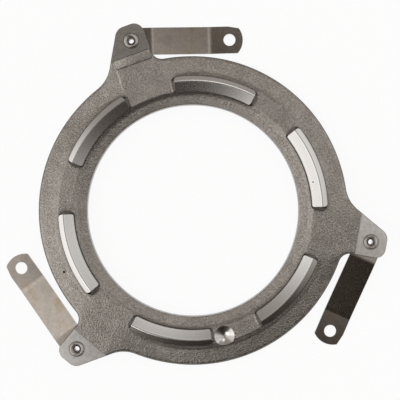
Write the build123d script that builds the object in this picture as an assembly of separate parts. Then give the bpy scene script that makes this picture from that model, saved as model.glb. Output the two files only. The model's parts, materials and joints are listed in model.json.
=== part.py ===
from build123d import *
import os
from math import atan, cos, degrees, radians, tan

# Clutch pressure plate: one cast iron ring with three lugs, and three packs of spring steel straps
# riveted under the lugs. The origin is on the bore axis in the friction face, +Z points to the cover
# side. Lengths are in millimetres and angles in degrees.

# Ring, from the bore outwards
bore_radius = 74.5
inner_band = 8.1            # bore to the land
land_width = 12.6
outer_band = 13.3           # land to the rim
land_height = 13.4          # thickness of the ring at its land
inner_step = 1.2            # drop from the land to the sloping band inside it
inner_fall = 1.0            # further drop of that band at the bore
outer_step = 0.9            # drop from the land to the sloping band outside it
outer_fall = 2.1            # further drop of that band at the rim
land_edge_chamfer = 0.4
rim_edge_chamfer = 0.8
friction_edge_chamfer = 0.4

# Fulcrum pads, which carry the diaphragm spring
pad_count = 6
first_pad_angle = 20.0
pad_span = 36.5             # angle of the machined top
pad_height = 3.4            # ridge above the land
pad_ridge_setback = 4.6     # ridge to the outer edge of the land
pad_inner_fall = 1.3        # drop of the top from the ridge to the bore side
pad_outer_fall = 1.0        # drop of the top from the ridge to the rim side
pad_wall_lean = 0.4
pad_ledge = 0.9             # strip of land left outside the pad
pad_end_lean = 42.0         # slope of the end faces from the vertical
pad_corner_round = 1.5

# Lugs
lug_count = 3
first_lug_angle = 110.0
lug_overhang = 17.9         # rim to rivet
lug_tip_reach = 11.2        # rivet to the end of the lug
lug_strap_side = 10.6       # rivet to the edge that the strap leaves
lug_back_side = 13.4        # rivet to the far edge
lug_back_slope = 30.0       # lean of the far edge, which widens to the ring
lug_strap_corner = 7.0
lug_back_corner = 7.6
lug_strap_root = 7.7        # concave round into the ring, strap side
lug_back_root = 23.0        # concave round into the ring, far side
lug_face_drop = 0.5         # machined top of the lug below the land
lug_face_reach = 10.0       # rivet to the inner edge of that machined top
lug_thickness = 4.9         # machined top to the machined underside that the straps lie on
web_strap_side = 15.4       # half width of the raised web at the land, strap side
web_back_side = 17.5
web_lean = 40.0             # slope of the web's sides from the vertical
web_neck = 3.0              # the web is down to the lug's width this far inside the machined top

# Boss on the web of the first lug
boss_length = 15.4          # inwards from the machined top
boss_rise = 0.6
boss_bar_width = 5.2
boss_bar_rise = 0.7
boss_strap_side = 9.6
boss_back_side = 16.6

# Balance drilling
drilling_inset = 4.9        # centre to the outer edge of the land
drilling_angle = -75.9
drilling_diameter = 14.0
drilling_wall = 0.9         # straight wall above the drill's cone, measured from the land
drill_point = 118.0

# Straps
leaf_count = 3
leaf_thickness = 0.7
leaf_width = 19.0
leaf_film = 0.02            # gap between neighbouring leaves
strap_centres = 69.0        # rivet to the hole at the free end
strap_turns = (18.4, 13.5, 14.3)  # lean of each strap towards the ring, as it hangs on its one rivet
strap_hole_diameter = 8.5
eye_length = 14.0           # hole to the nearest bend
strap_set = 5.0             # how far the free end lies below the lug end
bend_radius = 26.0
end_round = 14.0            # arc across each end
end_reach = 9.4             # hole to the end of the arc
taper_start = 0.9
taper_width = 1.9
leaf_corner = 0.9

# Rivets
rivet_bore = 3.7
rivet_shank = 7.0
rivet_lip = 10.4
rivet_lip_height = 1.5
rivet_crest_radius = 4.1
rivet_head = 13.0
rivet_head_height = 1.6
rivet_head_chamfer = 0.4
lug_hole_clearance = 0.05   # all round, in the lug
leaf_hole_clearance = 0.08  # all round, in the leaves

# Cutting and joining
overlap = 1.0               # how deep one fused piece runs into the next
overrun = 10.0              # how far a cutter runs past the metal
same_place = 0.01           # two heights closer than this are one

# Worked out from the sizes above
land_inner = bore_radius + inner_band
land_outer = land_inner + land_width
rim_radius = land_outer + outer_band
inner_height = land_height - inner_step
outer_height = land_height - outer_step
pad_ridge_radius = land_outer - pad_ridge_setback
pad_ridge_height = land_height + pad_height
pad_wall_radius = land_outer - pad_ledge
pad_wall_top = pad_ridge_height - pad_outer_fall
lug_pitch_radius = rim_radius + lug_overhang
lug_tip = lug_pitch_radius + lug_tip_reach
lug_face = land_height - lug_face_drop
lug_face_edge = lug_pitch_radius - lug_face_reach
lug_seat = lug_face - lug_thickness
bend_angle = degrees(atan(strap_set / (strap_centres - 2 * eye_length)))
leaf_pitch = leaf_thickness / cos(radians(bend_angle)) + leaf_film
pack_height = (leaf_count - 1) * leaf_pitch + leaf_thickness


def around(count, first_angle):
    """Turns about the bore axis that bring a piece modelled along +Y to each of its places."""
    return [Rot(0, 0, first_angle - 90 - number * 360 / count) for number in range(count)]


def side_profile(points):
    """Face in the plane through the bore axis from (radius, height) points."""
    return Plane.XZ * make_face(Polyline(*points, close=True))


def corner_at(shape, radius, height):
    """Corner of a side profile nearest to this radius and height."""
    return shape.vertices().sort_by_distance((radius, 0, height))[0]


def ring():
    """Turned body of the casting: friction face, bore, rim and the ridge on its land, all the way round."""
    profile = side_profile([
        (bore_radius, 0),
        (rim_radius, 0),
        (rim_radius, outer_height - outer_fall),
        (land_outer, outer_height),
        (land_outer, land_height),
        (pad_wall_radius, land_height),
        (pad_wall_radius - pad_wall_lean, pad_wall_top),
        (pad_ridge_radius, pad_ridge_height),
        (land_inner, pad_ridge_height - pad_inner_fall),
        (land_inner, inner_height),
        (bore_radius, inner_height - inner_fall),
    ])
    friction_corners = [corner_at(profile, bore_radius, 0), corner_at(profile, rim_radius, 0)]
    profile = chamfer(friction_corners, friction_edge_chamfer)
    profile = chamfer(corner_at(profile, rim_radius, outer_height - outer_fall), rim_edge_chamfer)
    for height in (outer_height, land_height):
        profile = chamfer(corner_at(profile, land_outer, height), land_edge_chamfer)
    return revolve(profile, Axis.Z)


def pad_gap():
    """Space between two neighbouring fulcrum pads, along +Y, with the slope of the pads' ends."""
    depth = land_outer + overrun
    half_gap = 180 / pad_count - pad_span / 2
    space = Pos(0, 0, land_height) * Box(2 * depth, depth, depth, align=(Align.CENTER, Align.MIN, Align.MIN))
    for end in (-1, 1):
        edge = Rot(0, 0, -end * half_gap) * Pos(0, 0, pad_ridge_height)
        end_face = Plane(edge * Rot(0, end * (90 - pad_end_lean), 0))
        space = split(space, end_face, keep=Keep.BOTTOM)
    return space


def is_pad_corner(edge):
    """True for an edge that climbs from the land to the top of a pad's outer wall."""
    foot, top = sorted([(edge @ 0).Z, (edge @ 1).Z])
    return abs(foot - land_height) < same_place and abs(top - pad_wall_top) < same_place


def turned_casting():
    """The ring with its ridge parted into fulcrum pads whose outer corners are rounded."""
    body = ring()
    for turn in around(pad_count, first_pad_angle + 180 / pad_count):
        body -= turn * pad_gap()
    return fillet(body.edges().filter_by(is_pad_corner), pad_corner_round)


def lug_side(height_from_bore):
    """Distance of the lug's far edge from the lug's centre line, this far from the bore axis."""
    return lug_back_side + (lug_pitch_radius - height_from_bore) * tan(radians(lug_back_slope))


def lug_blank():
    """Sharp-cornered plan shape of one lug along +Y."""
    return make_face(Polyline(
        (lug_strap_side, land_outer),
        (lug_strap_side, lug_tip),
        (-lug_side(lug_tip), lug_tip),
        (-lug_side(land_outer), land_outer),
        close=True,
    ))


def crossing(x_at_rim_side):
    """Point where a lug edge at this distance from the centre line meets the rim."""
    return (x_at_rim_side, (rim_radius ** 2 - x_at_rim_side ** 2) ** 0.5, 0)


def back_crossing():
    """Point where the leaning far edge of the lug meets the rim."""
    slope = tan(radians(lug_back_slope))
    offset = lug_back_side + lug_pitch_radius * slope
    y = (offset * slope + (rim_radius ** 2 * (1 + slope ** 2) - offset ** 2) ** 0.5) / (1 + slope ** 2)
    return (-(offset - y * slope), y, 0)


def casting_outline():
    """Plan shape of the casting: the rim circle with three lugs blended into it."""
    turns = around(lug_count, first_lug_angle)
    shape = Circle(rim_radius)
    for turn in turns:
        shape += turn * lug_blank()
    rounds = [
        ((lug_strap_side, lug_tip, 0), lug_strap_corner),
        ((-lug_side(lug_tip), lug_tip, 0), lug_back_corner),
        (crossing(lug_strap_side), lug_strap_root),
        (back_crossing(), lug_back_root),
    ]
    for point, radius in rounds:
        places = [(turn * Pos(*point)).position for turn in turns]
        shape = fillet([shape.vertices().sort_by_distance(place)[0] for place in places], radius)
    return shape


def lug_flanges(outline):
    """The lugs and their root rounds up to the slope of the ring's rim side."""
    plate = Pos(0, 0, lug_seat) * extrude(outline - Circle(land_outer), lug_face - lug_seat)
    reach = lug_tip + overrun
    under_slope = side_profile([
        (land_outer - overlap, 0),
        (reach, 0),
        (reach, outer_height - outer_fall),
        (rim_radius, outer_height - outer_fall),
        (land_outer, outer_height),
        (land_outer - overlap, outer_height),
    ])
    return plate & revolve(under_slope, Axis.Z)


def lug_webs(outline):
    """Raised webs that carry the lugs' top out from the land, with sloping cast sides."""
    web_plan = make_face(Polyline(
        (web_strap_side, land_outer - overlap),
        (lug_strap_side, lug_face_edge - web_neck),
        (lug_strap_side, lug_tip + overrun),
        (-lug_side(lug_face_edge), lug_tip + overrun),
        (-lug_side(lug_face_edge), lug_face_edge),
        (-web_back_side, land_outer - overlap),
        close=True,
    ))
    web = Pos(0, 0, land_height) * extrude(web_plan, land_height - lug_seat, dir=(0, 0, -1), taper=-web_lean)
    inside = Pos(0, 0, lug_seat) * extrude(outline - Circle(land_outer - overlap), land_height)
    webs = [turn * web for turn in around(lug_count, first_lug_angle)]
    return [piece & inside for piece in webs]


def on_lug(height):
    """Place of the first modelled lug's rivet axis at this height."""
    return Pos(0, lug_pitch_radius, height)


def lug_machining():
    """What the cutter takes off one lug along +Y: the top face and the rivet hole."""
    reach = lug_tip - lug_face_edge + overrun
    block = Box(4 * lug_back_side, reach, overrun, align=(Align.CENTER, Align.MIN, Align.MIN))
    top = Pos(0, lug_face_edge, lug_face) * block
    hole = on_lug(0) * Cylinder(rivet_shank / 2 + lug_hole_clearance, 2 * (lug_face + overrun))
    return [top, hole]


def first_lug_boss():
    """Low cast boss across the root of the first lug, with a bar along its outer edge."""
    pieces = []
    for length, rise in ((boss_length, boss_rise), (boss_bar_width, boss_rise + boss_bar_rise)):
        plan = make_face(Polyline(
            (boss_strap_side, lug_face_edge - length),
            (boss_strap_side, lug_face_edge),
            (-boss_back_side, lug_face_edge),
            (-boss_back_side, lug_face_edge - length),
            close=True,
        ))
        plan = Pos(0, 0, land_height + rise) * plan
        pieces.append(extrude(plan, 2 * rise, dir=(0, 0, -1), taper=-web_lean))
    return pieces


def balance_drilling():
    """Blind hole drilled into the land to balance the casting, with the drill's cone at its end."""
    radius = drilling_diameter / 2
    cone_height = radius / tan(radians(drill_point / 2))
    shoulder = land_height - drilling_wall
    wall = Cylinder(radius, land_height, align=(Align.CENTER, Align.CENTER, Align.MIN))
    point = Cone(0, radius, cone_height, align=(Align.CENTER, Align.CENTER, Align.MAX))
    cutter = Pos(0, 0, shoulder) * (wall + point)
    return Rot(0, 0, drilling_angle) * Pos(land_outer - drilling_inset, 0, 0) * cutter


def casting():
    """The whole iron casting, machined and balanced."""
    outline = casting_outline()
    body = turned_casting() + lug_flanges(outline)
    for web in lug_webs(outline):
        body += web
    turns = around(lug_count, first_lug_angle)
    for piece in first_lug_boss():
        body += turns[0] * piece
    for turn in turns:
        for cutter in lug_machining():
            body -= turn * cutter
    return body - balance_drilling()


def leaf_plan():
    """Outline of a leaf seen from above: rivet hole at the origin, free end towards +X."""
    half = leaf_width / 2
    middle = Pos(strap_centres / 2, 0)
    arc_centre = end_round - end_reach
    rounded = middle * Rectangle(strap_centres - 2 * arc_centre, leaf_width + overrun)
    for centre in (arc_centre, strap_centres - arc_centre):
        rounded += Pos(centre, 0) * Circle(end_round)
    shape = rounded & middle * Rectangle(strap_centres + 2 * end_reach + overrun, leaf_width)
    corner_cut = make_face(Polyline(
        (strap_centres - taper_start, half),
        (strap_centres + end_reach, half - taper_width),
        (strap_centres + end_reach, half + overrun),
        (strap_centres - taper_start, half + overrun),
        close=True,
    ))
    shape -= corner_cut
    shape -= Pos(strap_centres, 0) * Rot(0, 0, 180) * corner_cut
    corners = [(end, side, 0) for end in (-end_reach, strap_centres + end_reach) for side in (-half, half)]
    shape = fillet([shape.vertices().sort_by_distance(place)[0] for place in corners], leaf_corner)
    shape -= Circle(rivet_shank / 2 + leaf_hole_clearance)
    return shape - Pos(strap_centres, 0) * Circle(strap_hole_diameter / 2)


def leaf_side():
    """Side view of a leaf: flat under the lug, down one gentle slope, flat again at the free end."""
    first_bend = eye_length
    second_bend = strap_centres - eye_length
    start = -end_reach - overrun
    end = strap_centres + end_reach + overrun
    shift = leaf_thickness * tan(radians(bend_angle / 2))
    wide_bend = bend_radius + leaf_thickness
    top = FilletPolyline(
        (start, 0),
        (first_bend, 0),
        (second_bend, -strap_set),
        (end, -strap_set),
        radius=[wide_bend, bend_radius],
    )
    bottom = FilletPolyline(
        (start, -leaf_thickness),
        (first_bend - shift, -leaf_thickness),
        (second_bend - shift, -strap_set - leaf_thickness),
        (end, -strap_set - leaf_thickness),
        radius=[bend_radius, wide_bend],
    )
    sides = [Line(top @ 0, bottom @ 0), Line(top @ 1, bottom @ 1)]
    return make_face([*top.edges(), *bottom.edges(), *sides])


def leaf():
    """One pressed spring leaf with its top face on z 0 at the rivet."""
    slab = extrude(Plane.XZ * leaf_side(), leaf_width, both=True)
    cutter = Pos(0, 0, -strap_set - overrun) * extrude(leaf_plan(), strap_set + 2 * overrun)
    return slab & cutter


def rivet():
    """Tubular rivet along Z: plain head under the pack, lip rolled over on the lug's top."""
    bore = rivet_bore / 2
    shank = rivet_shank / 2
    head = rivet_head / 2
    seat = lug_seat - pack_height
    foot = seat - rivet_head_height
    crest = lug_face + rivet_lip_height
    funnel_foot = crest - (rivet_crest_radius - bore)
    funnel = TangentArc((bore, funnel_foot), (rivet_crest_radius, crest), tangent=(0, 1))
    lip = TangentArc((rivet_crest_radius, crest), (rivet_lip / 2, lug_face), tangent=(1, 0))
    body = Polyline(
        lip @ 1,
        (shank, lug_face),
        (shank, seat),
        (head, seat),
        (head, foot + rivet_head_chamfer),
        (head - rivet_head_chamfer, foot),
        (bore, foot),
        funnel @ 0,
    )
    return revolve(Plane.XZ * make_face([funnel, lip, body]), Axis.Z)


os.makedirs("parts", exist_ok=True)
export_step(casting(), "parts/pressure_plate_casting.step")
for number, turn in enumerate(around(lug_count, first_lug_angle), start=1):
    strap_place = turn * on_lug(lug_seat) * Rot(0, 0, -strap_turns[number - 1])
    for level in range(leaf_count):
        placed = strap_place * Pos(0, 0, -level * leaf_pitch) * leaf()
        export_step(placed, f"parts/strap_{number}_leaf_{level + 1}.step")
    export_step(turn * on_lug(0) * rivet(), f"parts/strap_{number}_rivet.step")
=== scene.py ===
import bpy
import bmesh
import json
import numpy as np
from math import atan2, cos, degrees, hypot, pi, radians, sin, tan
from mathutils import Matrix, Vector, noise


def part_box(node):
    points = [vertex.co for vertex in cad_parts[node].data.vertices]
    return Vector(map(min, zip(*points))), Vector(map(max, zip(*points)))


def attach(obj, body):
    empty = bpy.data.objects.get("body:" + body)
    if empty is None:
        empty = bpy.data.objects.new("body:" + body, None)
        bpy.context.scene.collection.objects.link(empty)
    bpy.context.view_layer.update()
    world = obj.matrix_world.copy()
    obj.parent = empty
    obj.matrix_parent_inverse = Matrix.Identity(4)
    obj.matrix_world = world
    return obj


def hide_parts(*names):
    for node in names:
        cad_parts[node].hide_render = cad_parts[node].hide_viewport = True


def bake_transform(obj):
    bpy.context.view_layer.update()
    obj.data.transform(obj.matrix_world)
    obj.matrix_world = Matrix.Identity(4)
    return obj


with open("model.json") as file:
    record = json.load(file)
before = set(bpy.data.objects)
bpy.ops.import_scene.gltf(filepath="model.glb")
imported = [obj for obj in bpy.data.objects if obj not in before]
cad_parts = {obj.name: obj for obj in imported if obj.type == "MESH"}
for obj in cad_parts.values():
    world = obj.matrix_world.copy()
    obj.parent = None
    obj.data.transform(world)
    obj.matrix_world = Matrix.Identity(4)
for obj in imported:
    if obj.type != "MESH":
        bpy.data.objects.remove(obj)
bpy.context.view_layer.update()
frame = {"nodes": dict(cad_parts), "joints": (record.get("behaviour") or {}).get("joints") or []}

# ---------------------------------------------------------------------------------------------
# The casting: grey iron poured in a sand mould, which leaves a grainy skin and soft edges. The
# fulcrum pads, both faces of the lugs and the friction face are then cut to bright metal, and
# one blind hole is drilled into the land to balance the ring. Sizes here are in millimetres.
MM = 0.001
BORE = 74.5
LAND_INNER = 82.6
LAND_OUTER = 95.2
RIM = 108.5
LAND_HEIGHT = 13.4
INNER_HEIGHT = 12.2                 # of the band inside the land, where it meets the land
INNER_FALL = 1.5                    # and its drop from there to the bore
OUTER_HEIGHT = 12.1                 # of the band outside the land
OUTER_FALL = 1.7                    # and its drop to the rim
EDGE_BREAK = 0.4                    # chamfer of the friction face
BORE_ROUND = 0.5                    # round of the bore's upper edge
RIM_ROUND = 2.4                     # round of the cast rim
LUG_ROUND = 1.5                     # and of the lugs' edges
ROUND_CHANGE = 8.0                  # distance out from the rim over which the one becomes the other
LAND_INNER_BLEND = 2.0              # half width of the slope from the inner band up to the land
LAND_OUTER_START = 94.5             # where the land starts to fall to the outer band
LAND_OUTER_FALL = 0.62              # drop per millimetre there
SOFTNESS = 0.5                      # how much a sand mould rounds one slope into the next
WEB_SOFTNESS = 0.8
WAVINESS = 0.05                     # height of the skin's shallow waves
WAVE_LENGTH = 5.0
TINY = 0.001                        # keeps a division from nothing

PAD_ANGLES = [20, 80, 140, 200, 260, 320]
PAD_HALF_SPAN = 18.25
PAD_REACH = 60                      # degrees past its end where a pad's slope stops counting
PAD_END_LEAN = 42.0
PAD_STOCK_HEIGHT = 17.8             # as cast, before the tops are turned
PAD_WALL_FOOT = 94.3
PAD_WALL_TOP = 93.9
PAD_INNER_HEIGHT = 15.5
PAD_OUTER_HEIGHT = 15.8
PAD_INNER_DRAFT = 0.7
PAD_OUTER_CORNER = 2.2
PAD_INNER_CORNER = 1.3
RIDGE = 90.6
RIDGE_HEIGHT = 16.8
RIDGE_BREAK = 0.45                  # half width of the worn crest

LUG_ANGLES = [110, -10, -130]
LUG_PITCH = 126.4
LUG_TIP = 137.6
LUG_SEAT = 8.0                      # underside of the lugs
LUG_FACE = 12.9
LUG_FACE_EDGE = 116.4
STRAP_SIDE = 10.6
STRAP_CORNER = 7.0
STRAP_ROOT = 7.7
BACK_SIDE = 13.4
BACK_SLOPE = radians(30)
BACK_CORNER = 7.6
BACK_ROOT = 23.0
RIVET_HOLE = 3.55
WEB_STRAP_SIDE = 15.4
WEB_BACK_SIDE = 17.5
WEB_NECK = 113.4                    # where the web is down to the lug's width
WEB_PLACES = (95.2, 107.0, 113.5)   # along the lug: the land, the start of the neck, the neck
WEB_STRAP_RISE = (0.10, 0.16, 1.6)  # slope of the web's strap side at each
WEB_BACK_RISE = (0.08, 0.10, 0.16)

BOSS_HEIGHT = 14.0                  # low boss across the first lug's web
BOSS_INNER = 100.0
BOSS_INNER_RISE = 0.17
BOSS_END_RISE = 1.1
BOSS_STRAP_SIDE = 9.6
BOSS_BACK_SIDE = 16.6
BAR_HEIGHT = 14.7                   # raised bar on the boss, along the machined face
BAR_INNER = 110.4
BAR_DRAFT = 0.6                     # how much wider the bar is at its foot, on each side
BAR_BEVEL = 0.3

DRILLING_ANGLE = radians(-75.9)
DRILLING_PLACE = 90.3
DRILLING = 7.0
DRILLING_SHOULDER = 12.5
DRILL_POINT = radians(59)
PITS = [(-90.3, -43.0, 0.9), (83.6, 19.9, 0.5)]    # place and radius of two gas pits in the skin
PIT_DEPTH = 1.2                     # as a share of a pit's radius
PIT_FLOOR = 0.7                     # its floor's radius, likewise

STOCK_CLEAR = 2.0                   # how far a cutter stands clear of the metal
LUG_CUT_WIDTH = 65.4                # covers a lug with its roots
PAD_CUT_SEGMENTS = 480
DRILLING_SEGMENTS = 96
HOLE_SEGMENTS = 64
PIT_SEGMENTS = 16
WELD = 0.01                         # corners closer than this are one
CAST_CREASE = radians(35)           # angle above which two faces meet in a crisp line
TURNED_CREASE = radians(4)          # and between two turned faces
FRICTION_DEPTH = 0.1                # faces below this are turned with the friction face
LEVEL = 0.99                        # upward part of a flat face's normal

LUG_COLUMNS = 150                   # mesh columns round a lug
RIM_STEP = 0.42                     # degrees between two columns round the rim
FRICTION_ROWS = 4
UNDERSIDE_ROWS = (0.35, 0.7, 1.0)   # shares of the way out under a lug
EDGE_TURNS = (0, 20, 38, 56, 73)    # degrees round the cast edge at each row
OUTER_ROWS = 32
LAND_FOOT = LAND_OUTER + 1.5        # where the rows become circles
BORE_TURNS = (30, 60, 90)

# Radii of the mesh rows from there to the bore, closer together where the surface turns
LAND_EDGE_ROWS = [96.3, 95.9, 95.5, 95.1, 94.8, 94.55]
PAD_WALL_ROWS = [PAD_WALL_FOOT + 0.1, PAD_WALL_FOOT, 94.2, 94.1, 94.0, PAD_WALL_TOP, 93.7, 93.4, 93.0]
LAND_ROWS = list(np.linspace(92.4, LAND_INNER + 2.2, 9))
LAND_STEPS = (1.6, 1.2, 0.95, 0.8, PAD_INNER_DRAFT, 0.55, 0.4, 0.2, 0.05, -0.1, -0.4)
LAND_STEP_ROWS = [LAND_INNER + step for step in LAND_STEPS]
INNER_ROWS = list(np.linspace(LAND_INNER - 1.0, BORE + 1.2, 7)) + [BORE + 0.6]
CIRCLE_ROWS = LAND_EDGE_ROWS + PAD_WALL_ROWS + LAND_ROWS + LAND_STEP_ROWS + INNER_ROWS

SKIN, TURNED, MILLED, DRILLED = range(4)


def arc(centre, radius, start, end, count):
    """Points of an arc between two angles in degrees, without its last point."""
    angles = [radians(start + (end - start) * place / count) for place in range(count)]
    return [(centre[0] + radius * cos(angle), centre[1] + radius * sin(angle)) for angle in angles]


def straight(start, end, count):
    """Points of a straight stretch, without its last point."""
    shares = [place / count for place in range(count)]
    across, up = end[0] - start[0], end[1] - start[1]
    return [(start[0] + across * share, start[1] + up * share) for share in shares]


def lug_outline():
    """Edge of a lug along +Y, from the rim on its strap side round its tip to the rim on its far side."""
    out_x, out_y = -cos(BACK_SLOPE), sin(BACK_SLOPE)
    side = BACK_SIDE * cos(BACK_SLOPE) + LUG_PITCH * sin(BACK_SLOPE)
    strap_root_x = STRAP_SIDE + STRAP_ROOT
    strap_root = (strap_root_x, ((RIM + STRAP_ROOT) ** 2 - strap_root_x ** 2) ** 0.5)
    strap_corner = (STRAP_SIDE - STRAP_CORNER, LUG_TIP - STRAP_CORNER)
    back_corner_y = LUG_TIP - BACK_CORNER
    back_corner = ((back_corner_y * out_y - side + BACK_CORNER) / -out_x, back_corner_y)
    reach = side + BACK_ROOT
    slide = ((RIM + BACK_ROOT) ** 2 - reach ** 2) ** 0.5
    back_root = (out_x * reach + out_y * slide, out_y * reach - out_x * slide)
    side_start = (back_corner[0] + BACK_CORNER * out_x, back_corner[1] + BACK_CORNER * out_y)
    side_end = (back_root[0] - BACK_ROOT * out_x, back_root[1] - BACK_ROOT * out_y)
    side_length = hypot(side_end[0] - side_start[0], side_end[1] - side_start[1])
    first_angle = degrees(atan2(-strap_root[1], -strap_root[0])) + 360
    last_angle = degrees(atan2(-back_root[1], -back_root[0]))
    slope = degrees(BACK_SLOPE)
    tip_start, tip_end = (strap_corner[0], LUG_TIP), (back_corner[0], LUG_TIP)
    strap_start, strap_end = (STRAP_SIDE, strap_root[1]), (STRAP_SIDE, strap_corner[1])
    stretches = [
        (STRAP_ROOT * radians(first_angle - 180), arc, (strap_root, STRAP_ROOT, first_angle, 180)),
        (strap_corner[1] - strap_root[1], straight, (strap_start, strap_end)),
        (STRAP_CORNER * pi / 2, arc, (strap_corner, STRAP_CORNER, 0, 90)),
        (strap_corner[0] - back_corner[0], straight, (tip_start, tip_end)),
        (BACK_CORNER * radians(90 - slope), arc, (back_corner, BACK_CORNER, 90, 180 - slope)),
        (side_length, straight, (side_start, side_end)),
        (BACK_ROOT * radians(-slope - last_angle), arc, (back_root, BACK_ROOT, -slope, last_angle)),
    ]
    total = sum(length for length, _, _ in stretches)
    points = []
    for length, stretch, ends in stretches:
        points += stretch(*ends, max(2, round(LUG_COLUMNS * length / total)))
    first = 90 - degrees(atan2(strap_root[1], strap_root[0]))
    last = 90 - degrees(atan2(back_root[1], back_root[0]))
    return points, first, last


def casting_columns():
    """For each column of the mesh, its angle on the ring and its point on the outline, counterclockwise."""
    edge, first, last = lug_outline()
    angles = []
    outline = []
    for number, lug_angle in enumerate(sorted(LUG_ANGLES)):
        turn = radians(lug_angle)
        for place, (x, y) in enumerate(edge):
            angles.append(radians(lug_angle - first + (first - last) * place / len(edge)))
            outline.append((y * cos(turn) + x * sin(turn), y * sin(turn) - x * cos(turn)))
        following = sorted(LUG_ANGLES)[(number + 1) % len(LUG_ANGLES)]
        span = ((following - first) % 360 - (lug_angle - last) % 360) % 360
        count = round(span / RIM_STEP)
        for place in range(count):
            angle = radians(lug_angle - last + span * place / count)
            angles.append(angle)
            outline.append((RIM * cos(angle), RIM * sin(angle)))
    return np.array(angles), np.array(outline)


def lower(a, b, softness=SOFTNESS):
    """The lower of two surfaces, with their meeting rounded."""
    blend = np.maximum(softness - np.abs(a - b), 0) / softness
    return np.minimum(a, b) - blend ** 2 * softness / 4


def higher(a, b, softness=SOFTNESS):
    """The higher of two surfaces, with their meeting rounded."""
    return -lower(-a, -b, softness)


def on_lug(x, y, angle):
    """Distance beside a lug's centre line, towards its strap, and distance along it from the bore axis."""
    turn = radians(angle)
    return x * sin(turn) - y * cos(turn), x * cos(turn) + y * sin(turn)


def rounded_corner(end, side, end_slope, side_slope, radius):
    """Height of two walls that meet in a rounded corner, from the distances inside their top edges."""
    past_end = np.maximum(radius - end, 0)
    past_side = np.maximum(radius - side, 0)
    reach = np.hypot(past_end, past_side)
    slope = np.hypot(past_end * end_slope, past_side * side_slope) / np.maximum(reach, TINY)
    return (radius - reach) * np.where(reach > 0, slope, end_slope)


def pad_height(x, y, angle):
    """Cast ends and walls of one fulcrum pad, with room above its turned top."""
    radius = np.hypot(x, y)
    beside = np.abs((np.degrees(np.arctan2(y, x)) - angle + 180) % 360 - 180)
    end = radius * np.sin(np.radians(np.clip(PAD_HALF_SPAN - beside, -PAD_REACH, PAD_REACH)))
    end_slope = 1 / tan(radians(PAD_END_LEAN))
    outer_slope = (PAD_OUTER_HEIGHT - LAND_HEIGHT) / (PAD_WALL_FOOT - PAD_WALL_TOP)
    inner_slope = (PAD_INNER_HEIGHT - INNER_HEIGHT) / PAD_INNER_DRAFT
    inside = radius - LAND_INNER - PAD_INNER_DRAFT
    outer = rounded_corner(end, PAD_WALL_TOP - radius, end_slope, outer_slope, PAD_OUTER_CORNER)
    inner = rounded_corner(end, inside, end_slope, inner_slope, PAD_INNER_CORNER)
    turned_heights = [PAD_INNER_HEIGHT, RIDGE_HEIGHT, PAD_OUTER_HEIGHT]
    turned = np.interp(radius, [LAND_INNER, RIDGE, PAD_WALL_TOP], turned_heights)
    return lower(turned + np.minimum(outer, inner), PAD_STOCK_HEIGHT + 0 * radius)


def web_slope(x, y, angle):
    """Sloping sides of the web that carries a lug out from the land; higher than the land inside them."""
    beside, along = on_lug(x, y, angle)
    neck = np.clip((along - LAND_OUTER) / (WEB_NECK - LAND_OUTER), 0, 1)
    strap_edge = WEB_STRAP_SIDE + (STRAP_SIDE - WEB_STRAP_SIDE) * neck
    shoulder = np.clip((along - LAND_OUTER) / (LUG_FACE_EDGE - LAND_OUTER), 0, None)
    face_side = BACK_SIDE + (LUG_PITCH - LUG_FACE_EDGE) * tan(BACK_SLOPE)
    back_edge = WEB_BACK_SIDE + (face_side - WEB_BACK_SIDE) * shoulder
    strap_rise = (strap_edge - beside) * np.interp(along, WEB_PLACES, WEB_STRAP_RISE)
    back_rise = (back_edge + beside) * np.interp(along, WEB_PLACES, WEB_BACK_RISE)
    rise = np.where(along > LUG_FACE_EDGE, LUG_SEAT, np.minimum(strap_rise, back_rise))
    return np.where(along > 0, LAND_HEIGHT + rise, 0)


def boss_height(x, y):
    """The first lug's boss, with steep ends and a gentle slope towards the land."""
    beside, along = on_lug(x, y, LUG_ANGLES[0])
    ends = np.minimum(BOSS_STRAP_SIDE - beside, BOSS_BACK_SIDE + beside) * BOSS_END_RISE
    rise = np.minimum(ends, (along - BOSS_INNER) * BOSS_INNER_RISE)
    return lower(BOSS_HEIGHT + rise, BOSS_HEIGHT + 0 * rise, WEB_SOFTNESS)


def cast_height(x, y):
    """Height of the casting's upper side before any machining."""
    radius = np.hypot(x, y)
    inner_band = INNER_HEIGHT - INNER_FALL * (LAND_INNER - radius) / (LAND_INNER - BORE)
    outer_band = OUTER_HEIGHT - OUTER_FALL * np.clip((radius - LAND_OUTER) / (RIM - LAND_OUTER), 0, 1)
    climb = np.clip((radius - LAND_INNER + LAND_INNER_BLEND) / (2 * LAND_INNER_BLEND), 0, 1)
    inside = inner_band + (LAND_HEIGHT - inner_band) * climb * climb * (3 - 2 * climb)
    fall = LAND_HEIGHT - (radius - LAND_OUTER_START) * LAND_OUTER_FALL
    for angle in LUG_ANGLES:
        fall = higher(fall, web_slope(x, y, angle), WEB_SOFTNESS)
    land = lower(inside, fall)
    height = np.where(radius < RIDGE, land, higher(outer_band, land))
    height = higher(height, boss_height(x, y))
    for angle in PAD_ANGLES:
        height = higher(height, pad_height(x, y, angle))
    waves = [noise.noise(Vector((east, north, 0)) / WAVE_LENGTH) for east, north in zip(x, y)]
    return height + WAVINESS * np.array(waves)


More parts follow.
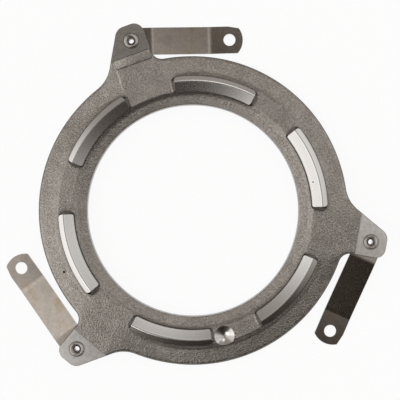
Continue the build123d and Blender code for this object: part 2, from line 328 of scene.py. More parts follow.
def casting_rows():
    """Closed loop of mesh rows through the casting: below, up the rim, over the top, down the bore."""
    angles, outline = casting_columns()
    circle = np.stack([np.cos(angles), np.sin(angles)], axis=1)
    ahead = np.roll(outline, -1, axis=0) - np.roll(outline, 1, axis=0)
    inwards = np.stack([-ahead[:, 1], ahead[:, 0]], axis=1) / np.hypot(ahead[:, 0], ahead[:, 1])[:, None]
    level = np.ones(len(angles))
    rows = []

    def row(place, height):
        rows.append(np.column_stack([place, height]))

    def top_row(place):
        row(place, cast_height(place[:, 0], place[:, 1]))

    for radius in np.linspace(BORE + EDGE_BREAK, RIM - EDGE_BREAK, FRICTION_ROWS):
        row(circle * radius, 0 * level)
    row(circle * RIM, EDGE_BREAK * level)
    row(circle * RIM, LUG_SEAT * level)
    for share in UNDERSIDE_ROWS:
        row(circle * RIM * (1 - share) + outline * share, LUG_SEAT * level)
    past_rim = np.hypot(outline[:, 0], outline[:, 1]) - RIM
    edge_round = np.interp(past_rim, [0, ROUND_CHANGE], [RIM_ROUND, LUG_ROUND])
    edge = outline + inwards * edge_round[:, None]
    edge_height = cast_height(edge[:, 0], edge[:, 1])
    for angle in EDGE_TURNS:
        inset = edge_round * (1 - cos(radians(angle)))
        row(outline + inwards * inset[:, None], edge_height - edge_round * (1 - sin(radians(angle))))
    for place in range(OUTER_ROWS):
        share = place / OUTER_ROWS
        top_row(edge * (1 - share) + circle * LAND_FOOT * share)
    for radius in CIRCLE_ROWS:
        top_row(circle * radius)
    bore_edge = cast_height(*(circle * (BORE + BORE_ROUND)).T)
    for angle in BORE_TURNS:
        radius = BORE + BORE_ROUND * (1 - sin(radians(angle)))
        row(circle * radius, bore_edge - BORE_ROUND * (1 - cos(radians(angle))))
    row(circle * BORE, LUG_SEAT * level)
    row(circle * BORE, EDGE_BREAK * level)
    return rows


def placed(name, mesh):
    """Object for a mesh that already lies in its place."""
    piece = bpy.data.objects.new(name, mesh)
    bpy.context.scene.collection.objects.link(piece)
    return piece


def casting_as_cast():
    """The raw casting: its rows joined into one closed skin."""
    rows = casting_rows()
    columns = len(rows[0])
    vertices = np.concatenate(rows) * MM
    faces = []
    for number in range(len(rows)):
        here, there = number * columns, (number + 1) % len(rows) * columns
        for column in range(columns):
            beyond = (column + 1) % columns
            faces.append((here + column, there + column, there + beyond, here + beyond))
    mesh = bpy.data.meshes.new("cast_ring")
    mesh.from_pydata(vertices.tolist(), [], faces)
    shape = bmesh.new()
    shape.from_mesh(mesh)
    bmesh.ops.remove_doubles(shape, verts=shape.verts, dist=WELD * MM)
    bmesh.ops.recalc_face_normals(shape, faces=shape.faces)
    shape.to_mesh(mesh)
    shape.free()
    return placed("cast_ring", mesh)


def cutter(name, shape, finish):
    """Cutting solid whose faces leave this finish on what it cuts."""
    bmesh.ops.recalc_face_normals(shape, faces=shape.faces)
    for face in shape.faces:
        face.material_index = finish
    mesh = bpy.data.meshes.new(name)
    shape.to_mesh(mesh)
    shape.free()
    return placed(name, mesh)


def lathe(name, profile, segments, finish, centre=(0, 0)):
    """Solid turned about a vertical axis from a closed profile of (radius, height)."""
    shape = bmesh.new()
    turns = [2 * pi * place / segments for place in range(segments)]
    rings = []
    for radius, height in profile:
        points = [(centre[0] + radius * cos(turn), centre[1] + radius * sin(turn), height) for turn in turns]
        if radius == 0:
            points = [(centre[0], centre[1], height)]
        rings.append([shape.verts.new(Vector(point) * MM) for point in points])
    for ring, following in zip(rings, rings[1:] + rings[:1]):
        for place in range(segments):
            beyond = (place + 1) % segments
            near = [ring[place % len(ring)], ring[beyond % len(ring)]]
            far = [following[beyond % len(following)], following[place % len(following)]]
            corners = list(dict.fromkeys(near + far))
            if len(corners) > 2:
                shape.faces.new(corners)
    return cutter(name, shape, finish)


def turned_to_lug(shape, angle):
    """Turns a shape that was made along +Y to the lug at this angle."""
    turn = Matrix.Rotation(radians(angle - 90), 3, "Z")
    bmesh.ops.rotate(shape, cent=(0, 0, 0), matrix=turn, verts=shape.verts)


def boss_bar():
    """The raised bar on the first lug's boss, wider at its foot, as it left the mould."""
    shape = bmesh.new()
    bmesh.ops.create_cube(shape, size=1)
    for corner in shape.verts:
        draft = 0 if corner.co.z > 0 else BAR_DRAFT
        beside = BOSS_STRAP_SIDE + draft if corner.co.x > 0 else -BOSS_BACK_SIDE - draft
        along = LUG_FACE_EDGE + STOCK_CLEAR if corner.co.y > 0 else BAR_INNER - draft
        height = BAR_HEIGHT if corner.co.z > 0 else LUG_SEAT + STOCK_CLEAR
        corner.co = Vector((beside, along, height)) * MM
    top = [edge for edge in shape.edges if all(corner.co.z > LAND_HEIGHT * MM for corner in edge.verts)]
    bmesh.ops.bevel(shape, geom=top, offset=BAR_BEVEL * MM, segments=2, profile=0.5, affect="EDGES")
    turned_to_lug(shape, LUG_ANGLES[0])
    return cutter("boss_bar", shape, SKIN)


def pad_cutter():
    """Turns the tops of all the fulcrum pads to their two slopes with a narrow worn crest between."""
    inner_fall = (RIDGE_HEIGHT - PAD_INNER_HEIGHT) / (RIDGE - LAND_INNER)
    outer_fall = (RIDGE_HEIGHT - PAD_OUTER_HEIGHT) / (PAD_WALL_TOP - RIDGE)
    profile = [
        (LAND_INNER - STOCK_CLEAR, PAD_INNER_HEIGHT - STOCK_CLEAR * inner_fall),
        (RIDGE - RIDGE_BREAK, RIDGE_HEIGHT - RIDGE_BREAK * inner_fall),
        (RIDGE, RIDGE_HEIGHT - RIDGE_BREAK * (inner_fall + outer_fall) / 4),
        (RIDGE + RIDGE_BREAK, RIDGE_HEIGHT - RIDGE_BREAK * outer_fall),
        (LAND_OUTER, RIDGE_HEIGHT - (LAND_OUTER - RIDGE) * outer_fall),
        (LAND_OUTER, PAD_STOCK_HEIGHT + STOCK_CLEAR),
        (LAND_INNER - STOCK_CLEAR, PAD_STOCK_HEIGHT + STOCK_CLEAR),
    ]
    return lathe("pad_turning", profile, PAD_CUT_SEGMENTS, TURNED)


def lug_cutter(angle):
    """Mills one lug's top flat beyond the web."""
    shape = bmesh.new()
    bmesh.ops.create_cube(shape, size=1)
    depth = LUG_TIP - LUG_FACE_EDGE + STOCK_CLEAR
    height = BAR_HEIGHT - LUG_FACE + STOCK_CLEAR
    centre = Vector((0, LUG_FACE_EDGE + depth / 2, LUG_FACE + height / 2)) * MM
    bmesh.ops.scale(shape, vec=Vector((LUG_CUT_WIDTH, depth, height)) * MM, verts=shape.verts)
    bmesh.ops.translate(shape, vec=centre, verts=shape.verts)
    turned_to_lug(shape, angle)
    return cutter("lug_milling", shape, MILLED)


def drilling_cutter():
    """Blind balance hole with the drill's cone at its end."""
    centre = (DRILLING_PLACE * cos(DRILLING_ANGLE), DRILLING_PLACE * sin(DRILLING_ANGLE))
    top = LAND_HEIGHT + STOCK_CLEAR / 2
    tip = DRILLING_SHOULDER - DRILLING / tan(DRILL_POINT)
    profile = [(0, tip), (DRILLING, DRILLING_SHOULDER), (DRILLING, top), (0, top)]
    return lathe("balance_drill", profile, DRILLING_SEGMENTS, DRILLED, centre)


def rivet_hole_cutter(angle):
    """Drills one lug's hole for its rivet."""
    centre = (LUG_PITCH * cos(radians(angle)), LUG_PITCH * sin(radians(angle)))
    bottom, top = LUG_SEAT - STOCK_CLEAR, LUG_FACE + STOCK_CLEAR
    profile = [(0, bottom), (RIVET_HOLE, bottom), (RIVET_HOLE, top), (0, top)]
    return lathe("rivet_drill", profile, HOLE_SEGMENTS, DRILLED, centre)


def pit_cutter(x, y, radius):
    """A small gas pit, in the skin or in a turned pad."""
    cast = float(cast_height(np.array([x]), np.array([y]))[0])
    turned = RIDGE_HEIGHT - (RIDGE - hypot(x, y)) * (RIDGE_HEIGHT - PAD_INNER_HEIGHT) / (RIDGE - LAND_INNER)
    height = min(cast, turned)
    profile = [(0, height - PIT_DEPTH * radius), (PIT_FLOOR * radius, height - radius), (radius, height),
               (radius, height + radius), (0, height + radius)]
    return lathe("pit", profile, PIT_SEGMENTS, SKIN, (x, y))


def machined(raw, cutters, operation="DIFFERENCE"):
    """The casting after one set of cutters, or of added forms, that don't meet each other."""
    joined = bmesh.new()
    for tool in cutters:
        joined.from_mesh(tool.data)
    mesh = bpy.data.meshes.new("cutters")
    joined.to_mesh(mesh)
    joined.free()
    for material in raw.data.materials:
        mesh.materials.append(material)
    tools = placed("cutters", mesh)
    cut = raw.modifiers.new("machining", "BOOLEAN")
    cut.operation = operation
    cut.solver = "EXACT"
    cut.material_mode = "INDEX"
    cut.object = tools
    bpy.context.view_layer.update()
    result = bpy.data.meshes.new_from_object(raw.evaluated_get(bpy.context.evaluated_depsgraph_get()))
    raw.modifiers.remove(cut)
    raw.data = result
    for tool in cutters + [tools]:
        bpy.data.objects.remove(tool)
    return raw


# A finish's colours run from the dark to the light of its pattern. Its painted shade lies in corners: how far
# it reaches in millimetres, how open a corner is where the shade is full and where it ends, and the share of
# light that it leaves.
SKIN_COLOURS = [(0.34, "736d67"), (0.50, "89837d"), (0.66, "9d9791")]
SKIN_METALLIC = 0.88                # iron under a film of oil and scale
SKIN_ROUGHNESS = 0.29
SKIN_GRAIN = 1.1                    # mm, sand grains in the skin
SKIN_PATCH = 9.0                    # mm, cloudy patches of scale
SKIN_PATCH_SHARE = 0.25             # of the colour; the grains have the rest
SKIN_RELIEF = 0.3                   # mm
# painted shade in the skin's corners
SKIN_CORNER_SHADE = (3.0, 0.55, 0.97, 0.2)
EDGE_SHADE = 0.15                    # share of light left by the painted dark line where the skin turns down
EDGE_LOW, EDGE_MIDDLE, EDGE_HIGH = 0.2, 0.45, 0.8  # upward part of the normal across that line
TURNED_COLOURS = [(0.3, "b3b0ad"), (0.6, "c1bebb")]
TURNED_ROUGHNESS = 0.15
TOOL_FEED = 1.0                     # mm, spacing of the lathe's rings
TOOL_RELIEF = 0.03                  # mm
TOOL_STRENGTH = 0.12
MILLED_COLOURS = [(0.3, "b0aba5"), (0.7, "c1bebb")]
MILLED_ROUGHNESS = 0.16
# painted shade by the cutter's step and round the rivets
MILLED_CORNER_SHADE = (1.2, 0.6, 0.95, 0.3)
OIL_BLOTCH = 3.0                    # mm
OIL_RELIEF = 0.02                   # mm
OIL_STRENGTH = 0.1
# dark and light of the painted reflection bands in the drilled cone
DRILLED_REFLECTION_COLOURS = [(0.35, "a39d97"), (0.6, "c1bebb")]
DRILLED_ROUGHNESS = 0.18
DRILL_REFLECTION_BANDS = 1.0                 # painted reflection bands per radian round the drill's axis


def linear(colour):
    """Linear RGBA of an sRGB hex colour."""
    parts = [int(colour[place:place + 2], 16) / 255 for place in (0, 2, 4)]
    return [part / 12.92 if part <= 0.04045 else ((part + 0.055) / 1.055) ** 2.4 for part in parts] + [1.0]


def add(tree, kind, settings=None, links=None, stops=()):
    """Adds a node: settings are its properties or unlinked inputs, links join inputs to other nodes'
    outputs, and stops are a ramp's places with their colours, in hex or in linear RGBA."""
    node = tree.nodes.new(kind)
    for name, value in (settings or {}).items():
        if isinstance(name, int) or name in node.inputs:
            node.inputs[name].default_value = value
        else:
            setattr(node, name, value)
    for name, output in (links or {}).items():
        tree.links.new(output, node.inputs[name])
    if stops:
        elements = node.color_ramp.elements
        while len(elements) < len(stops):
            elements.new(0.5)
        for element, (place, colour) in zip(elements, stops):
            element.position = place
            element.color = linear(colour) if isinstance(colour, str) else colour
    return node


def new_finish(name, metallic, roughness):
    """Empty material of this name, with its tree and its shader."""
    material = bpy.data.materials.new(name)
    material.use_nodes = True
    tree = material.node_tree
    shader = tree.nodes["Principled BSDF"]
    shader.inputs["Metallic"].default_value = metallic
    shader.inputs["Roughness"].default_value = roughness
    return material, tree, shader


def corner_shade_share(tree, reach, full, end, left):
    """Share of light left by painted shade in corners, from ambient occlusion; 1 on open faces."""
    corner = add(tree, "ShaderNodeAmbientOcclusion", {"samples": 8, "Distance": reach * MM})
    limits = {"From Min": full, "From Max": end, "To Min": left}
    return add(tree, "ShaderNodeMapRange", limits, {"Value": corner.outputs["AO"]}).outputs[0]


def coat(tree, shader, colour, darkening=None, height=None, relief=0.0, strength=1.0):
    """Joins a finish to its shader: its colour, scaled by a darkening share (painted shade in corners on the
    iron and the rivets, handling smudges on the spring steel), and its relief in mm.
    """
    if darkening:
        dulled = add(tree, "ShaderNodeVectorMath", {"operation": "SCALE"}, {0: colour, "Scale": darkening})
        colour = dulled.outputs[0]
    tree.links.new(colour, shader.inputs["Base Color"])
    if height:
        depth = {"Strength": strength, "Distance": relief * MM}
        bump = add(tree, "ShaderNodeBump", depth, {"Height": height})
        tree.links.new(bump.outputs["Normal"], shader.inputs["Normal"])


# Sand-cast grey iron, shot-blasted and oiled: half-bright on its crests and pocked by the sand grains, with
# painted shade in corners and a painted dark line where the skin turns down at an edge.
def sand_cast_iron():
    material, tree, shader = new_finish("sand_cast_iron", SKIN_METALLIC, SKIN_ROUGHNESS)
    place = add(tree, "ShaderNodeTexCoord").outputs["Object"]
    sand = {"Scale": 1 / (SKIN_GRAIN * MM), "Detail": 3.0}
    grain = add(tree, "ShaderNodeTexNoise", sand, {"Vector": place}).outputs["Fac"]
    scale = {"Scale": 1 / (SKIN_PATCH * MM), "Detail": 3.0}
    patches = add(tree, "ShaderNodeTexNoise", scale, {"Vector": place}).outputs["Fac"]
    share = add(tree, "ShaderNodeMath", {"operation": "MULTIPLY", 1: SKIN_PATCH_SHARE}, {0: patches})
    both = {0: grain, 2: share.outputs[0]}
    level = add(tree, "ShaderNodeMath", {"operation": "MULTIPLY_ADD", 1: 1 - SKIN_PATCH_SHARE}, both)
    colour = add(tree, "ShaderNodeValToRGB", links={"Fac": level.outputs[0]}, stops=SKIN_COLOURS)
    # painted shade: darker in corners by ambient occlusion, and a painted dark line on steep walls, set by
    # how far the normal points up
    corner_shade = corner_shade_share(tree, *SKIN_CORNER_SHADE)
    normal = add(tree, "ShaderNodeNewGeometry").outputs["Normal"]
    up = add(tree, "ShaderNodeSeparateXYZ", links={"Vector": normal}).outputs["Z"]
    falling = {"From Min": EDGE_LOW, "From Max": EDGE_MIDDLE, "To Min": 1.0, "To Max": EDGE_SHADE}
    below = add(tree, "ShaderNodeMapRange", falling, {"Value": up})
    rising = {"From Min": EDGE_MIDDLE, "From Max": EDGE_HIGH, "To Min": EDGE_SHADE}
    above = add(tree, "ShaderNodeMapRange", rising, {"Value": up})
    edge = add(tree, "ShaderNodeMath", {"operation": "MAXIMUM"}, {0: below.outputs[0], 1: above.outputs[0]})
    darkening = add(tree, "ShaderNodeMath", {"operation": "MULTIPLY"}, {0: corner_shade, 1: edge.outputs[0]})
    coat(tree, shader, colour.outputs["Color"], darkening.outputs[0], grain, SKIN_RELIEF)
    return material


# Turned grey iron: bright, with faint rings from the lathe tool round the bore axis, drawn
# coarser than the tool left them so that they show.
def turned_iron():
    material, tree, shader = new_finish("turned_iron", 1.0, TURNED_ROUGHNESS)
    place = add(tree, "ShaderNodeTexCoord").outputs["Object"]
    flat = add(tree, "ShaderNodeVectorMath", {"operation": "MULTIPLY", 1: (1.0, 1.0, 0.0)}, {0: place})
    radius = add(tree, "ShaderNodeVectorMath", {"operation": "LENGTH"}, {0: flat.outputs[0]})
    feed = {"noise_dimensions": "1D", "Scale": 1 / (TOOL_FEED * MM), "Detail": 2.0}
    rings = add(tree, "ShaderNodeTexNoise", feed, {"W": radius.outputs["Value"]}).outputs["Fac"]
    colour = add(tree, "ShaderNodeValToRGB", links={"Fac": rings}, stops=TURNED_COLOURS)
    coat(tree, shader, colour.outputs["Color"], None, rings, TOOL_RELIEF, TOOL_STRENGTH)
    return material


# Milled grey iron of the lugs: satin, with soft blotches left by oil and painted shade along the step that
# the cutter left and round the rivets.
def milled_iron():
    material, tree, shader = new_finish("milled_iron", 1.0, MILLED_ROUGHNESS)
    place = add(tree, "ShaderNodeTexCoord").outputs["Object"]
    size = {"Scale": 1 / (OIL_BLOTCH * MM), "Detail": 5.0}
    clouds = add(tree, "ShaderNodeTexNoise", size, {"Vector": place}).outputs["Fac"]
    colour = add(tree, "ShaderNodeValToRGB", links={"Fac": clouds}, stops=MILLED_COLOURS)
    # painted shade in corners, from ambient occlusion
    darkening = corner_shade_share(tree, *MILLED_CORNER_SHADE)
    coat(tree, shader, colour.outputs["Color"], darkening, clouds, OIL_RELIEF, OIL_STRENGTH)
    return material


# Drilled grey iron: painted bright and dark bands round the drill's axis stand in for the streaked reflection
# in the cone.
def drilled_iron():
    material, tree, shader = new_finish("drilled_iron", 1.0, DRILLED_ROUGHNESS)
    place = add(tree, "ShaderNodeTexCoord").outputs["Object"]
    centre = tuple(DRILLING_PLACE * MM * part for part in (cos(DRILLING_ANGLE), sin(DRILLING_ANGLE), 0))
    from_axis = add(tree, "ShaderNodeVectorMath", {"operation": "SUBTRACT", 1: centre}, {0: place})
    parts = add(tree, "ShaderNodeSeparateXYZ", links={"Vector": from_axis.outputs[0]}).outputs
    turn = add(tree, "ShaderNodeMath", {"operation": "ARCTAN2"}, {0: parts["Y"], 1: parts["X"]})
    # painted reflection: bands of colour round the drill's axis
    bands = {"noise_dimensions": "1D", "Scale": DRILL_REFLECTION_BANDS, "Detail": 3.0}
    reflection_bands = add(tree, "ShaderNodeTexNoise", bands, {"W": turn.outputs[0]})
    colour = add(tree, "ShaderNodeValToRGB", links={"Fac": reflection_bands.outputs["Fac"]}, stops=DRILLED_REFLECTION_COLOURS)
    coat(tree, shader, colour.outputs["Color"])
    return material


casting = casting_as_cast()
for material in (sand_cast_iron(), turned_iron(), milled_iron(), drilled_iron()):
    casting.data.materials.append(material)
casting = machined(casting, [boss_bar()], "UNION")
lug_mills = [lug_cutter(angle) for angle in LUG_ANGLES]
casting = machined(casting, [pad_cutter(), drilling_cutter()] + lug_mills)
rivet_holes = [rivet_hole_cutter(angle) for angle in LUG_ANGLES]
casting = machined(casting, rivet_holes + [pit_cutter(*pit) for pit in PITS])
for face in casting.data.polygons:
    face.use_smooth = True
    if face.center.z < FRICTION_DEPTH * MM:
        face.material_index = TURNED
    elif abs(face.center.z - LUG_SEAT * MM) < WELD * MM and abs(face.normal.z) > LEVEL:
        face.material_index = MILLED
casting.data.set_sharp_from_angle(angle=CAST_CREASE)
shape = bmesh.new()
shape.from_mesh(casting.data)
for edge in shape.edges:
    finishes = {face.material_index for face in edge.link_faces}
    if len(finishes) > 1 or (finishes == {TURNED} and edge.calc_face_angle() > TURNED_CREASE):
        edge.smooth = False
shape.to_mesh(casting.data)
shape.free()
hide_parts("pressure_plate_casting")
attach(casting, "plate")

# ---------------------------------------------------------------------------------------------
# The straps: three packs of three spring steel leaves, blanked, set in a press and tempered brown.
# Each pack is clamped under its lug and bends just beyond it, where the rigid eye ends.
STRAP_COUNT = 3
LEAF_COUNT = 3
FLAT_JOIN = radians(0.3)            # angle below which two triangles are one flat face
BEND_REACH = 3.2                    # mm that the bend reaches to each side of the hinge
BEND_CUTS = 9                       # rows of the mesh across it
SPRING_COLOURS = [(0.32, "978f86"), (0.52, "a29a92"), (0.62, "a1968a"), (0.72, "978b7b")]
SPRING_ROUGHNESS = 0.14
HEAT_PATCH = 11.0                   # mm, patches of oxide from tempering
SMUDGE = 2.2                        # mm
SMUDGE_LEFT = 0.86                  # share of light left by a smudge


def merged_copy(node, name):
    """Copy of a CAD node's mesh with its loose triangles joined and its flat faces made whole."""
    shape = bmesh.new()
    shape.from_mesh(frame["nodes"][node].data)
    bmesh.ops.remove_doubles(shape, verts=shape.verts, dist=TINY * MM)
    bmesh.ops.dissolve_limit(shape, angle_limit=FLAT_JOIN, verts=shape.verts, edges=shape.edges)
    return placed(name, bpy.data.meshes.new(name)), shape


# Spring steel, rolled smooth and tempered in air: a soft gloss under broad clouds of thin
# straw-brown oxide, with finer smudges from handling.
def tempered_spring_steel():
    material, tree, shader = new_finish("tempered_spring_steel", 1.0, SPRING_ROUGHNESS)
    place = add(tree, "ShaderNodeTexCoord").outputs["Object"]
    oxide = {"Scale": 1 / (HEAT_PATCH * MM), "Detail": 4.0}
    heat = add(tree, "ShaderNodeTexNoise", oxide, {"Vector": place}).outputs["Fac"]
    tint = add(tree, "ShaderNodeValToRGB", links={"Fac": heat}, stops=SPRING_COLOURS)
    fingers = {"Scale": 1 / (SMUDGE * MM), "Detail": 6.0}
    marks = add(tree, "ShaderNodeTexNoise", fingers, {"Vector": place}).outputs["Fac"]
    limits = {"From Min": 0.3, "From Max": 0.7, "To Min": SMUDGE_LEFT}
    smudges = add(tree, "ShaderNodeMapRange", limits, {"Value": marks})
    coat(tree, shader, tint.outputs["Color"], smudges.outputs[0])
    return material


spring_steel = tempered_spring_steel()
joints = {joint["name"]: joint for joint in frame["joints"]}
for strap in range(1, STRAP_COUNT + 1):
    hinge = Vector(joints[f"strap_{strap}_flex"]["pos_m"])
    low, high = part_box(f"strap_{strap}_rivet")
    along = hinge - (low + high) / 2
    along.z = 0
    along.normalize()
    bend = along * (BEND_REACH * MM)
    for level in range(1, LEAF_COUNT + 1):
        node = f"strap_{strap}_leaf_{level}"
        leaf, leaf_mesh = merged_copy(node, f"spring_leaf_{strap}_{level}")
        for place in np.linspace(-1, 1, BEND_CUTS):
            everything = list(leaf_mesh.verts) + list(leaf_mesh.edges) + list(leaf_mesh.faces)
            cut = hinge + bend * place
            bmesh.ops.bisect_plane(leaf_mesh, geom=everything, plane_co=cut, plane_no=along)
        leaf_mesh.to_mesh(leaf.data)
        leaf_mesh.free()
        leaf.data.materials.append(spring_steel)
        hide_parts(node)
        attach(leaf, f"strap_{strap}")
        leaf.parent = None          # from here on the blend moves it
        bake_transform(leaf)

# ---------------------------------------------------------------------------------------------
# The rivets: tubes of mild steel with a plain head under each strap pack, rolled over on the lug's
# machined top. The three are alike, so one is turned and Geometry Nodes set it in each lug.
RIVET_BORE = 1.8
RIVET_SHANK = 3.5
RIVET_LIP = 5.2
RIVET_CREST = 4.05
RIVET_CREST_HEIGHT = 14.3
RIVET_FUNNEL = 2.9
RIVET_MOUTH = 2.15                  # radius where the funnel reaches the lug's top
RIVET_MOUTH_DEPTH = 1.0             # and how far below it the bore starts
RIVET_HEAD = 6.5
RIVET_HEAD_HEIGHT = 1.6
RIVET_HEAD_ROUND = 0.4
RIVET_SEGMENTS = 64
RIVET_CREASE = radians(40)
RIVET_COLOURS = [(0.3, "8d8781"), (0.7, "b4afa9")]
RIVET_ROUGHNESS = 0.34
# painted shade inside the rivet's lip
RIVET_CORNER_SHADE = (2.5, 0.4, 0.9, 0.4)
RIVET_PATCH = 1.5                   # mm
RIVET_RELIEF = 0.05                 # mm
RIVET_STRENGTH = 0.3


def rivet_profile(foot):
    """Closed section of the rivet, from the foot of its bore round the head and the rolled lip."""
    seat = foot + RIVET_HEAD_HEIGHT
    lip_width, lip_height = RIVET_LIP - RIVET_CREST, RIVET_CREST_HEIGHT - LUG_FACE
    funnel_width = RIVET_CREST - RIVET_FUNNEL
    head = [(RIVET_BORE, foot), (RIVET_HEAD - RIVET_HEAD_ROUND, foot),
            (RIVET_HEAD, foot + RIVET_HEAD_ROUND), (RIVET_HEAD, seat)]
    shank = [(RIVET_SHANK, seat), (RIVET_SHANK, LUG_FACE)]
    lip = [(RIVET_CREST + lip_width * cos(radians(turn)), LUG_FACE + lip_height * sin(radians(turn)))
           for turn in range(0, 90, 15)]
    funnel = [(RIVET_CREST - funnel_width * sin(radians(turn)),
               RIVET_CREST_HEIGHT - funnel_width * (1 - cos(radians(turn)))) for turn in range(0, 75, 15)]
    mouth = [(RIVET_MOUTH, LUG_FACE), (RIVET_BORE, LUG_FACE - RIVET_MOUTH_DEPTH)]
    return head + shank + lip + funnel + mouth


# Plain mild steel, rolled by the riveting tool: satin, with painted shade inside the lip.
def rivet_steel():
    material, tree, shader = new_finish("rolled_rivet_steel", 1.0, RIVET_ROUGHNESS)
    place = add(tree, "ShaderNodeTexCoord").outputs["Object"]
    size = {"Scale": 1 / (RIVET_PATCH * MM), "Detail": 4.0}
    blotches = add(tree, "ShaderNodeTexNoise", size, {"Vector": place}).outputs["Fac"]
    colour = add(tree, "ShaderNodeValToRGB", links={"Fac": blotches}, stops=RIVET_COLOURS)
    # painted shade in the funnel, from ambient occlusion
    darkening = corner_shade_share(tree, *RIVET_CORNER_SHADE)
    coat(tree, shader, colour.outputs["Color"], darkening, blotches, RIVET_RELIEF, RIVET_STRENGTH)
    return material


def rivet_nodes():
    """Tree that sets one rivet on each of the lugs' centres; gives it with its inputs' identifiers."""
    tree = bpy.data.node_groups.new("rivets_on_lugs", "GeometryNodeTree")
    kinds = {"Geometry": "NodeSocketGeometry", "Rivet": "NodeSocketObject", "Lugs": "NodeSocketInt",
             "Pitch radius": "NodeSocketFloat", "First lug": "NodeSocketFloat", "Steel": "NodeSocketMaterial"}
    inputs = {name: tree.interface.new_socket(name, in_out="INPUT", socket_type=kind).identifier
              for name, kind in kinds.items()}
    tree.interface.new_socket("Geometry", in_out="OUTPUT", socket_type="NodeSocketGeometry")
    given = add(tree, "NodeGroupInput").outputs
    ring = {"Vertices": given["Lugs"], "Radius": given["Pitch radius"]}
    centres = add(tree, "GeometryNodeMeshCircle", links=ring)
    turn = add(tree, "ShaderNodeCombineXYZ", links={"Z": given["First lug"]})
    turned = {"Geometry": centres.outputs[0], "Rotation": turn.outputs[0]}
    places = add(tree, "GeometryNodeTransform", links=turned)
    part = add(tree, "GeometryNodeObjectInfo", links={"Object": given["Rivet"]})
    set_in = {"Points": places.outputs[0], "Instance": part.outputs["Geometry"]}
    copies = add(tree, "GeometryNodeInstanceOnPoints", links=set_in)
    real = add(tree, "GeometryNodeRealizeInstances", links={"Geometry": copies.outputs[0]})
    steel = {"Geometry": real.outputs[0], "Material": given["Steel"]}
    finished = add(tree, "GeometryNodeSetMaterial", links=steel)
    add(tree, "NodeGroupOutput", links={0: finished.outputs[0]})
    return tree, inputs


rivet_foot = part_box("strap_1_rivet")[0][2] / MM
one_rivet = lathe("one_rivet", rivet_profile(rivet_foot), RIVET_SEGMENTS, 0)
rivets = placed("rivets", bpy.data.meshes.new("rivets"))
setting = rivets.modifiers.new("rivets_on_lugs", "NODES")
setting.node_group, sockets = rivet_nodes()
values = {"Rivet": one_rivet, "Lugs": STRAP_COUNT, "Pitch radius": LUG_PITCH * MM,
          "First lug": radians(LUG_ANGLES[0]), "Steel": rivet_steel()}
for name, value in values.items():
    setting[sockets[name]] = value
bpy.context.view_layer.update()
riveted = bpy.data.meshes.new_from_object(rivets.evaluated_get(bpy.context.evaluated_depsgraph_get()))
rivets.modifiers.remove(setting)
rivets.data = riveted
bpy.data.objects.remove(one_rivet)
for face in rivets.data.polygons:
    face.use_smooth = True
rivets.data.set_sharp_from_angle(angle=RIVET_CREASE)
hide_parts("strap_1_rivet", "strap_2_rivet", "strap_3_rivet")
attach(rivets, "plate")

# ---------------------------------------------------------------------------------------------
# The stage: a sheet of white paper that keeps only a faint shadow, in a tent of white cloth lit
# through its walls, brightest on the left and dark at the foot. Bright and dark cards hang round
# the camera, which looks straight down.
FLOOR_SIZE = 6.0                    # metres
FLOOR_DEPTH = 0.00005
FLOOR_TONE = 0.9
FLOOR_ROUGHNESS = 0.9
FLOOR_GLOW = 0.92                   # share of the floor's white that no shadow takes away
TENT_LIGHT = 1.6
TENT = [                            # azimuth and light of the walls, counterclockwise from the right
    (0, 0.66), (20, 0.74), (38, 0.80), (48, 0.34), (80, 0.32), (124, 0.27), (140, 0.34), (150, 0.62),
    (158, 0.92), (200, 1.1), (230, 0.88), (243, 0.12), (264, 0.04), (290, 0.02), (318, 0.06),
    (338, 0.36), (350, 0.70),
]
CARDS = [                           # azimuth, degrees from overhead, radius, half its soft edge, light
    (80, 14.0, 4.5, 2.5, 1.0),
    (74, 23.5, 9.0, 3.0, 2.0),
    (34, 17.2, 3.6, 1.0, 0.25),
    (230, 24.0, 9.5, 2.0, 2.6),
    (100, 5.0, 6.6, 1.5, 0.15),
    (210, 3.8, 6.0, 1.2, 0.50),
]
LOW_LIGHT = 0.85                    # of the paper's glow on the walls near the floor
LOW_START = 0.30                    # upward part of the direction where that glow starts
LOW_FULL = 0.16                     # and where it is all that is seen
NEUTRAL_LIGHT = 0.5                 # light above which a wall is neutral; dim cloth is browner
DIM_GREEN, DIM_BLUE = 0.80, 0.66
BRIGHT_GREEN, BRIGHT_BLUE = 0.995, 0.985
CAMERA_HEIGHT = 0.85
CAMERA_REACH = 20                   # metres
FRAME_WIDTH = 0.280
FRAME_CENTRE = Vector((4.9, 7.4, 0)) * MM
SHARP_PLANE = 12.0 * MM             # height at which the frame is FRAME_WIDTH wide


def light(level):
    """Linear RGBA of a light."""
    bright = min(level / NEUTRAL_LIGHT, 1.0)
    green = DIM_GREEN + (BRIGHT_GREEN - DIM_GREEN) * bright
    blue = DIM_BLUE + (BRIGHT_BLUE - DIM_BLUE) * bright
    return (level, level * green, level * blue, 1.0)


world = bpy.data.worlds.new("studio")
world.use_nodes = True
tree = world.node_tree
room = tree.nodes["Background"]
direction = add(tree, "ShaderNodeTexCoord").outputs["Generated"]
parts = add(tree, "ShaderNodeSeparateXYZ", links={"Vector": direction}).outputs
azimuth = add(tree, "ShaderNodeMath", {"operation": "ARCTAN2"}, {0: parts["Y"], 1: parts["X"]})
turns = add(tree, "ShaderNodeMath", {"operation": "MULTIPLY", 1: 1 / (2 * pi)}, {0: azimuth.outputs[0]})
round_turns = add(tree, "ShaderNodeMath", {"operation": "FRACT"}, {0: turns.outputs[0]})
cloth = [(place / 360, light(level)) for place, level in TENT + [(360, TENT[0][1])]]
walls = add(tree, "ShaderNodeValToRGB", links={"Fac": round_turns.outputs[0]}, stops=cloth)
tent_light = {"operation": "SCALE", "Scale": TENT_LIGHT}
lit = add(tree, "ShaderNodeVectorMath", tent_light, {0: walls.outputs["Color"]}).outputs[0]
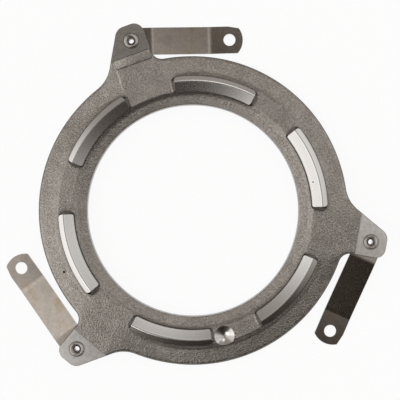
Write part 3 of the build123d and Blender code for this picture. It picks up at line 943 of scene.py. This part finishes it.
for turn, lean, size, blur, level in CARDS:
    turn, lean = radians(turn), radians(lean)
    axis = (cos(turn) * sin(lean), sin(turn) * sin(lean), cos(lean))
    near = add(tree, "ShaderNodeVectorMath", {"operation": "DOT_PRODUCT", 1: axis}, {0: direction})
    limits = {"From Min": cos(radians(size + blur)), "From Max": cos(radians(size - blur))}
    card = add(tree, "ShaderNodeMapRange", limits, {"Value": near.outputs["Value"]})
    colour = {"data_type": "RGBA", 7: light(level)}
    lit = add(tree, "ShaderNodeMix", colour, {0: card.outputs[0], 6: lit}).outputs[2]
low = add(tree, "ShaderNodeMapRange", {"From Min": LOW_START, "From Max": LOW_FULL}, {"Value": parts["Z"]})
glow = {"data_type": "RGBA", 7: light(LOW_LIGHT)}
horizon = add(tree, "ShaderNodeMix", glow, {0: low.outputs[0], 6: lit})
tree.links.new(horizon.outputs[2], room.inputs["Color"])
path = add(tree, "ShaderNodeLightPath").outputs
white = add(tree, "ShaderNodeBackground", {"Color": (1, 1, 1, 1), "Strength": 1.0})
seen = {0: path["Is Camera Ray"], 1: room.outputs[0], 2: white.outputs[0]}
mix = add(tree, "ShaderNodeMixShader", links=seen)
tree.links.new(mix.outputs[0], tree.nodes["World Output"].inputs["Surface"])
bpy.context.scene.world = world

half = FLOOR_SIZE / 2
corners = [(-half, -half), (half, -half), (half, half), (-half, half)]
floor_mesh = bpy.data.meshes.new("floor")
floor_mesh.from_pydata([(x, y, -FLOOR_DEPTH) for x, y in corners], [], [(0, 1, 2, 3)])
floor = placed("floor", floor_mesh)
paper, tree, shader = new_finish("white_paper", 0.0, FLOOR_ROUGHNESS)
shader.inputs["Base Color"].default_value = (FLOOR_TONE, FLOOR_TONE, FLOOR_TONE, 1)
path = add(tree, "ShaderNodeLightPath").outputs
white = add(tree, "ShaderNodeEmission", {"Color": (1, 1, 1, 1), "Strength": 1.0})
seen = {0: path["Is Camera Ray"], 1: path["Is Glossy Ray"]}
either = add(tree, "ShaderNodeMath", {"operation": "MAXIMUM"}, seen)
through = {0: either.outputs[0], 1: path["Is Transmission Ray"]}
any_ray = add(tree, "ShaderNodeMath", {"operation": "MAXIMUM"}, through)
share = add(tree, "ShaderNodeMath", {"operation": "MULTIPLY", 1: FLOOR_GLOW}, {0: any_ray.outputs[0]})
both = {0: share.outputs[0], 1: shader.outputs[0], 2: white.outputs[0]}
mix = add(tree, "ShaderNodeMixShader", links=both)
tree.links.new(mix.outputs[0], tree.nodes["Material Output"].inputs["Surface"])
floor.data.materials.append(paper)

camera_data = bpy.data.cameras.new("camera")
camera_data.lens = camera_data.sensor_width * (CAMERA_HEIGHT - SHARP_PLANE) / FRAME_WIDTH
camera_data.clip_end = CAMERA_REACH
camera = bpy.data.objects.new("camera", camera_data)
bpy.context.scene.collection.objects.link(camera)
camera.location = FRAME_CENTRE + Vector((0, 0, CAMERA_HEIGHT))
bpy.context.scene.camera = camera
bpy.context.scene.view_settings.view_transform = "Standard"
